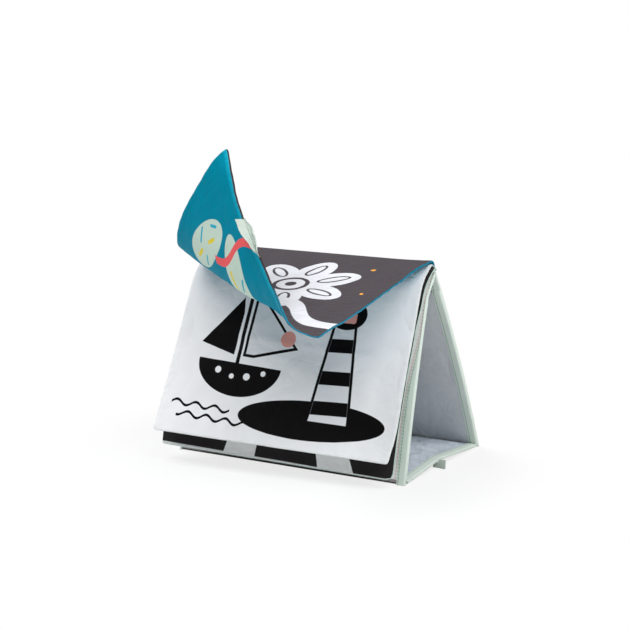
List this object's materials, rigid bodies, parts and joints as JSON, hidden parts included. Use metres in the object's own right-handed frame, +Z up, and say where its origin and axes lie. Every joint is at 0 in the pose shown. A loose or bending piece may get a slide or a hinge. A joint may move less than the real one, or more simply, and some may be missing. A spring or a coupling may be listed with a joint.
{
  "type": "soft activity book",
  "caption": "Soft cloth baby book that stands as a tent on two stiffened covers with a cloth base, its pages sewn at the ridge and the top page lifted.",
  "frame": {"origin": "middle of the front cover's foot, on the table", "axes": "+Z up; +X along the ridge to the right, as seen from the front; +Y from the front cover's foot to the back cover's foot"},
  "size_m": [0.2165, 0.2579, 0.2528],
  "materials": {
    "front_cloth": "woven, white with soft print",
    "back_cloth": "woven, white with soft print",
    "board": "grey board",
    "lining": "woven, mid grey",
    "tape": "folded binding, pale mint",
    "base_cloth": "woven, mid grey",
    "ribbon": "satin ribbon, pale mint",
    "page_cloth": "woven, printed on both sides"
  },
  "bodies": {
    "front_cover": {"front_cover_face": "front_cloth", "front_cover_board": "board", "front_cover_lining": "lining", "front_binding_left": "tape", "front_binding_right": "tape", "base_panel": "base_cloth", "base_binding_left": "tape", "base_binding_right": "tape", "base_pull_tab": "ribbon", "pages": "page_cloth", "page_tab": "ribbon"},
    "back_cover": {"back_cover_face": "back_cloth", "back_cover_board": "board", "back_cover_lining": "lining", "back_binding_left": "tape", "back_binding_right": "tape"}
  },
  "joints": [
    {"name": "cover_fold", "type": "hinge", "parent": "front_cover", "child": "back_cover", "pos_m": [0, 0.04788, 0.15532], "axis": [-1, 0, 0], "range_deg": [0, 43], "deforming": ["base_panel", "base_binding_left", "base_binding_right", "base_pull_tab"]}
  ]
}
